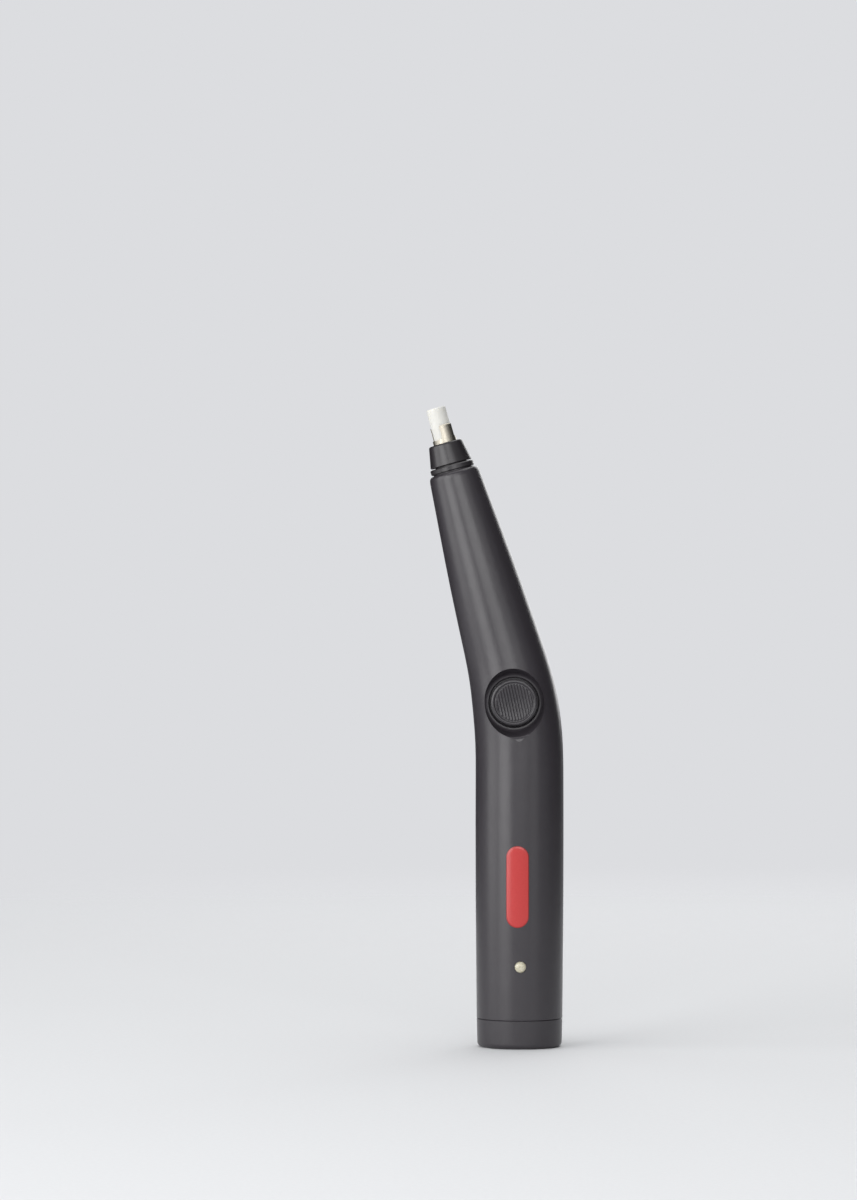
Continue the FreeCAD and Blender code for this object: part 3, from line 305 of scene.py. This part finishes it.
# ---------------------------------------------------------------- collet, hub, washer and bush
# The collet is thin spring steel, nickel plated: bright, with fine rings left by turning it. The hub behind
# it is turned brass, the bush is oiled sintered bronze, dull and pitted, and the washer is white acetal.
joints = {joint["name"]: joint for joint in frame["joints"]}
nose_axis = joints["spindle_spin"]["axis"]
nose_lean = math.atan2(-nose_axis[0], nose_axis[2])
nose_foot = joints["spindle_spin"]["pos_m"]
upright = {"lean": 0.0, "foot": (0, 0, 0)}     # for what was turned or drawn about the grip's axis


def turned_metal(name, dark, light, rough, ring_mm=0.12, depth_mm=0.0015, lean=nose_lean, foot=nose_foot):
    """Turned metal: tone and height vary in rings of ring_mm along the axis, and hardly round it."""
    material, tree = new_material(name)
    place = add(tree, "ShaderNodeTexCoord").outputs["Object"]
    square = add(tree, "ShaderNodeMapping",
                 {"vector_type": "TEXTURE", "Location": foot, "Rotation": (0, -lean, 0)}, {"Vector": place})
    squeeze = add(tree, "ShaderNodeMapping", {"Scale": (60, 60, 1000 / ring_mm)},
                  {"Vector": square.outputs[0]})
    lathe = add(tree, "ShaderNodeTexNoise", {"Scale": 1.0, "Detail": 3.0}, {"Vector": squeeze.outputs[0]})
    colour = add(tree, "ShaderNodeMix", {"data_type": "RGBA", 6: tone(dark), 7: tone(light)},
                 {0: lathe.outputs["Fac"]})
    sheen = add(tree, "ShaderNodeMapRange", {3: rough - 0.06, 4: rough + 0.06}, {0: lathe.outputs["Fac"]})
    bump = add(tree, "ShaderNodeBump", {"Strength": 1.0, "Distance": depth_mm / 1000},
               {"Height": lathe.outputs["Fac"]})
    shader = add(tree, "ShaderNodeBsdfPrincipled", {"Metallic": 1.0},
                 {"Base Color": colour.outputs[2], "Roughness": sheen.outputs[0], "Normal": bump.outputs[0]})
    add(tree, "ShaderNodeOutputMaterial", {}, {"Surface": shader.outputs[0]})
    return material


dress(turned_metal("nickel_plated_steel", "#aaa497", "#d0cabc", 0.38), "collet")
dress(turned_metal("turned_brass", "#b08a45", "#d2ae63", 0.25), "drive_hub")
bronze = moulded("sintered_bronze", "#6d4c2c", "#8a6238", 0.5, grain_mm=0.2, depth_mm=0.012, cloud_mm=1.0)
dress(bronze, "front_bush")
acetal = moulded("white_acetal", "#dcdad2", "#e8e6df", 0.4, grain_mm=0.3, depth_mm=0.003, cloud_mm=3.0)
dress(acetal, "thrust_washer")

# ---------------------------------------------------------------- eraser stick
# Extruded white vinyl, soft and matt, with light carried a little way into it. The die leaves faint lines
# along the stick, and the cut ends are slightly rough.
material, tree = new_material("white_vinyl_eraser")
place = add(tree, "ShaderNodeTexCoord").outputs["Object"]
square = add(tree, "ShaderNodeMapping",
             {"vector_type": "TEXTURE", "Location": nose_foot, "Rotation": (0, -nose_lean, 0)},
             {"Vector": place})
drawn = add(tree, "ShaderNodeMapping", {"Scale": (2200, 2200, 60)}, {"Vector": square.outputs[0]})
lines = add(tree, "ShaderNodeTexNoise", {"Scale": 1.0, "Detail": 2.0}, {"Vector": drawn.outputs[0]})
crumb = add(tree, "ShaderNodeTexNoise", {"Scale": 1000 / 0.35, "Detail": 4.0, "Roughness": 0.65},
            {"Vector": place})
cloud = add(tree, "ShaderNodeTexNoise", {"Scale": 1000 / 3.5, "Detail": 3.0}, {"Vector": place})
colour = add(tree, "ShaderNodeMix", {"data_type": "RGBA", 6: tone("#d0cfc9"), 7: tone("#d8d7d2")},
             {0: cloud.outputs["Fac"]})
height = add(tree, "ShaderNodeMath", {"operation": "MULTIPLY_ADD", 1: 0.5},
             {0: lines.outputs["Fac"], 2: crumb.outputs["Fac"]})
bump = add(tree, "ShaderNodeBump", {"Strength": 1.0, "Distance": 0.000005}, {"Height": height.outputs[0]})
shader = add(tree, "ShaderNodeBsdfPrincipled",
             {"IOR": 1.5, "Roughness": 0.62, "Specular IOR Level": 0.35, "Subsurface Weight": 0.25,
              "Subsurface Radius": (1.0, 0.95, 0.8), "Subsurface Scale": 0.0008},
             {"Base Color": colour.outputs[2], "Normal": bump.outputs[0]})
add(tree, "ShaderNodeOutputMaterial", {}, {"Surface": shader.outputs[0]})
dress(material, "eraser_stick")

# ---------------------------------------------------------------- case screws
# Four pan-head screws that form their own thread in the front half's bosses. They are zinc plated and
# blackened, and sit deep in their wells at the rear.
dress(turned_metal("black_zinc", "#3b3b3f", "#5a5a60", 0.36, ring_mm=0.2, **upright), "case_screws")

# ---------------------------------------------------------------- charging socket
# A steel shell, folded from sheet and tin plated, round a black moulded tongue that carries five gilt
# contacts. It is soldered on the charging board and faces down through the foot.
dress(turned_metal("tinned_steel", "#a5a6a8", "#c9cacb", 0.30, ring_mm=0.4, **upright), "usb_shell")
chip_black = moulded("black_epoxy", "#1d1d1f", "#29292c", 0.45, grain_mm=0.15, depth_mm=0.004, cloud_mm=1.5)
dress(chip_black, "usb_tongue")
gilt = turned_metal("gilt_contact", "#c69a4a", "#e6c178", 0.22, ring_mm=0.3, **upright)
dress(gilt, "usb_contacts")

# ---------------------------------------------------------------- boards and switch
# Glass-epoxy boards under green solder mask, glossy, with the weave of the glass just showing. The chips
# and the switch are moulded in black epoxy.
material, tree = new_material("green_board")
place = add(tree, "ShaderNodeTexCoord").outputs["Object"]
weave = add(tree, "ShaderNodeTexChecker", {"Scale": 1000 / 0.45}, {"Vector": place})
cloud = add(tree, "ShaderNodeTexNoise", {"Scale": 1000 / 2.0, "Detail": 3.0}, {"Vector": place})
green = add(tree, "ShaderNodeMix", {"data_type": "RGBA", 6: tone("#124a28"), 7: tone("#1b5c33")},
            {0: cloud.outputs["Fac"]})
bump = add(tree, "ShaderNodeBump", {"Strength": 0.6, "Distance": 0.000004}, {"Height": weave.outputs["Fac"]})
shader = add(tree, "ShaderNodeBsdfPrincipled", {"IOR": 1.5, "Roughness": 0.28},
             {"Base Color": green.outputs[2], "Normal": bump.outputs[0]})
add(tree, "ShaderNodeOutputMaterial", {}, {"Surface": shader.outputs[0]})
dress(material, "control_board", "switch_board")
dress(chip_black, "board_parts", "switch_body", "switch_plunger")

# ---------------------------------------------------------------- button spring
# Drawn steel wire wound into a coil round the switch, with its end turns drawn close together. The real
# spring shortens against the board as the button goes in; this coil is drawn at one length and stays so.
WIRE_R = 0.22             # mm, of the wire
TURNS = 5.5
END_CLOSING = 0.45        # share of the pitch that the end turns lose


def coil(low, high, steps=264, around=10):
    """Wire on a helix about Y from low to high. At u from 0 to 1 it has risen u - k sin(2 pi u) / (2 pi)."""
    u = np.linspace(0, 1, steps)
    angle = 2 * np.pi * TURNS * u
    mid, radius = (low + high) / 2, (high[0] - low[0]) / 2 - WIRE_R
    rise = u - END_CLOSING * np.sin(2 * np.pi * u) / (2 * np.pi)
    y = low[1] + WIRE_R + (high[1] - low[1] - 2 * WIRE_R) * rise
    line = np.stack([mid[0] + radius * np.cos(angle), y, mid[2] + radius * np.sin(angle)], -1)
    out = np.stack([np.cos(angle), np.zeros(steps), np.sin(angle)], -1)
    ahead = np.gradient(line, axis=0)
    beside = np.cross(ahead / np.linalg.norm(ahead, axis=1, keepdims=True), out)
    phi = full_turn(around)[:, None]
    return line[:, None] + WIRE_R * (np.cos(phi) * out[:, None] + np.sin(phi) * beside[:, None])


spring_steel = turned_metal("spring_steel", "#8f9092", "#b9babb", 0.28, ring_mm=0.3, **upright)
low, high = (np.array(v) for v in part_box("button_spring"))
spring = piece("coil_spring", *closed_rings(coil(low * 1000, high * 1000) / 1000), "housing", spring_steel)
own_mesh(spring)
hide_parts("button_spring")

# ---------------------------------------------------------------- cell and leads
# A nickel-plated round cell in blue shrink film, with nickel strips welded across its ends. The leads are
# copper strands in red silicone.
dress(turned_metal("cell_can", "#9d9ea0", "#c2c3c4", 0.3, ring_mm=1.0, **upright), "cell")
film = moulded("shrink_film", "#1f3f7d", "#27509a", 0.25, grain_mm=1.2, depth_mm=0.01, cloud_mm=5.0)
dress(film, "cell_sleeve")
dress(turned_metal("nickel_strip", "#a7a69f", "#c8c7bf", 0.3, ring_mm=0.5, **upright), "cell_tabs")
dress(moulded("silicone_lead", "#8e1f1b", "#a52a24", 0.5, cloud_mm=2.0), "board_leads", "motor_leads")

# ---------------------------------------------------------------- motor
# A drawn and zinc-plated can with a white acetal end bell, held in a soft black sleeve. Inside are ferrite
# magnets, gilt brush arms, and a rotor of stacked iron with enamelled copper coils and a copper commutator
# on a ground shaft.
dress(turned_metal("drawn_can", "#9a9b9d", "#bdbec0", 0.32, ring_mm=0.6), "motor_can")
dress(acetal, "motor_bell")
dress(gilt, "motor_terminals", "motor_brushes")
ferrite = moulded("ferrite", "#2d2c2d", "#3c3b3b", 0.6, grain_mm=0.25, depth_mm=0.01, cloud_mm=1.0)
dress(ferrite, "motor_magnets")
dress(moulded("soft_sleeve", "#1f1f21", "#29292b", 0.7, grain_mm=0.4, depth_mm=0.01), "motor_sleeve")
dress(turned_metal("ground_steel", "#9fa0a2", "#c6c7c9", 0.18, ring_mm=0.15), "motor_shaft")
dress(turned_metal("lamination", "#5b5c5f", "#86878a", 0.4, ring_mm=0.5), "rotor_core")
dress(turned_metal("enamelled_copper", "#8c3f1e", "#b9612f", 0.3, ring_mm=0.3), "rotor_windings")
dress(turned_metal("bare_copper", "#a3552f", "#c9774a", 0.28, ring_mm=0.2), "commutator")

# ---------------------------------------------------------------- floor, light and camera
# A pale matt floor that thins out into a pale surround, so no horizon shows. From below it isn't seen, and
# it is open under the foot. A large soft box stands front left, with one beside it and one in front, a weak
# one front right, one behind and one overhead. Two black cards darken the sides in reflections.
bpy.context.scene.view_settings.view_transform = "Standard"
FLOOR_OPEN, FLOOR_REACH = 0.009, 1.2   # metres, as are all sizes from here on
FLOOR_DROP = 0.00002      # below the foot
FLOOR_SIDES = 96
THIN_FROM, THIN_TO = 0.22, 0.85
turn = full_turn(FLOOR_SIDES)
ring = np.stack([np.cos(turn), np.sin(turn), np.full(FLOOR_SIDES, -FLOOR_DROP)], -1)
corners = np.vstack([ring * (FLOOR_OPEN, FLOOR_OPEN, 1), ring * (FLOOR_REACH, FLOOR_REACH, 1)])
k = np.arange(FLOOR_SIDES)
after = (k + 1) % FLOOR_SIDES
panels = np.stack([k, k + FLOOR_SIDES, after + FLOOR_SIDES, after], -1)
floor_mesh = bpy.data.meshes.new("studio_floor")
floor_mesh.from_pydata(corners.tolist(), [], panels.tolist())
floor = bpy.data.objects.new("studio_floor", floor_mesh)
bpy.context.scene.collection.objects.link(floor)
material, tree = new_material("pale_paper")
place = add(tree, "ShaderNodeTexCoord").outputs["Object"]
fibre = add(tree, "ShaderNodeTexNoise", {"Scale": 900.0, "Detail": 2.0}, {"Vector": place})
colour = add(tree, "ShaderNodeMix", {"data_type": "RGBA", 6: tone("#d6d7d9"), 7: tone("#dcddde")},
             {0: fibre.outputs["Fac"]})
shader = add(tree, "ShaderNodeBsdfPrincipled", {"Roughness": 0.9, "Specular IOR Level": 0.1},
             {"Base Color": colour.outputs[2]})
reach = add(tree, "ShaderNodeVectorMath", {"operation": "LENGTH"}, {0: place})
thin = add(tree, "ShaderNodeMapRange", {"interpolation_type": "SMOOTHSTEP", 1: THIN_FROM, 2: THIN_TO},
           {0: reach.outputs["Value"]})
below = add(tree, "ShaderNodeNewGeometry").outputs["Backfacing"]
gone = add(tree, "ShaderNodeMath", {"operation": "MAXIMUM"}, {0: thin.outputs[0], 1: below})
clear = add(tree, "ShaderNodeBsdfTransparent")
mixed = add(tree, "ShaderNodeMixShader", {}, {0: gone.outputs[0], 1: shader.outputs[0], 2: clear.outputs[0]})
add(tree, "ShaderNodeOutputMaterial", {}, {"Surface": mixed.outputs[0]})
floor_mesh.materials.append(material)

world = bpy.data.worlds.new("studio")
bpy.context.scene.world = world
world.use_nodes = True
tree = world.node_tree
tree.nodes.clear()
dim = add(tree, "ShaderNodeBackground", {"Color": tone("#e8eaee"), "Strength": 0.24})
pale = add(tree, "ShaderNodeBackground", {"Color": tone("#dcdde0"), "Strength": 1.0})
seen = add(tree, "ShaderNodeLightPath").outputs["Is Camera Ray"]
mixed = add(tree, "ShaderNodeMixShader", {}, {0: seen, 1: dim.outputs[0], 2: pale.outputs[0]})
add(tree, "ShaderNodeOutputWorld", {}, {"Surface": mixed.outputs[0]})

middle = (cad_box[0] + cad_box[1]) / 2


def soft_box(name, spot, width, height, watts):
    """A rectangular white lamp at spot, turned to the middle of the tool. It isn't seen itself."""
    data = bpy.data.lights.new(name, "AREA")
    data.shape, data.size, data.size_y, data.energy = "RECTANGLE", width, height, watts
    lamp = bpy.data.objects.new(name, data)
    lamp.location = spot
    aim = middle - lamp.location
    lamp.rotation_euler = aim.to_track_quat("-Z", "Y").to_euler()
    lamp.visible_camera = False
    bpy.context.scene.collection.objects.link(lamp)


soft_box("left_box", (-0.95, -0.22, 0.30), 0.55, 0.80, 3.4)
soft_box("key_box", (-0.66, -0.78, 0.32), 0.60, 0.85, 6.4)
soft_box("front_box", (0.06, -1.06, 0.42), 0.70, 0.55, 4.2)
soft_box("fill_box", (0.66, -0.86, 0.30), 0.40, 0.70, 0.9)
soft_box("back_box", (0.25, 1.05, 0.45), 0.90, 0.70, 4.5)
soft_box("top_box", (0.0, 0.25, 1.30), 1.60, 1.40, 11.0)


flag_black, tree = new_material("flag_black")
shader = add(tree, "ShaderNodeBsdfPrincipled",
             {"Base Color": tone("#0c0c0d"), "Roughness": 0.9, "Specular IOR Level": 0.0})
add(tree, "ShaderNodeOutputMaterial", {}, {"Surface": shader.outputs[0]})


def dark_flag(name, spot, half_w, half_h):
    """A black card that stands at spot, turned to the tool, and that only reflections see."""
    away = np.array([spot[0], spot[1]]) / math.hypot(spot[0], spot[1])
    u = np.array([-away[1], away[0], 0.0]) * half_w
    v = np.array([0.0, 0.0, half_h])
    mesh = bpy.data.meshes.new(name)
    corners = [(np.array(spot) + a * u + b * v).tolist() for a, b in ((-1, -1), (1, -1), (1, 1), (-1, 1))]
    mesh.from_pydata(corners, [], [(0, 1, 2, 3)])
    mesh.materials.append(flag_black)
    card = bpy.data.objects.new(name, mesh)
    bpy.context.scene.collection.objects.link(card)
    card.visible_camera = card.visible_diffuse = card.visible_shadow = card.visible_transmission = False


dark_flag("right_flag", (0.42, 0.14, 0.30), 0.26, 0.60)
dark_flag("left_flag", (-0.36, 0.36, 0.30), 0.22, 0.60)

camera_data = bpy.data.cameras.new("camera")
camera_data.lens = 147.6
camera_data.sensor_width = 36.0
camera = bpy.data.objects.new("camera", camera_data)
camera.location = (-0.0222, -1.2, 0.1088)      # level with the bend, with the tool right of the middle
camera.rotation_euler = (math.radians(90), 0, 0)
bpy.context.scene.collection.objects.link(camera)
bpy.context.scene.camera = camera
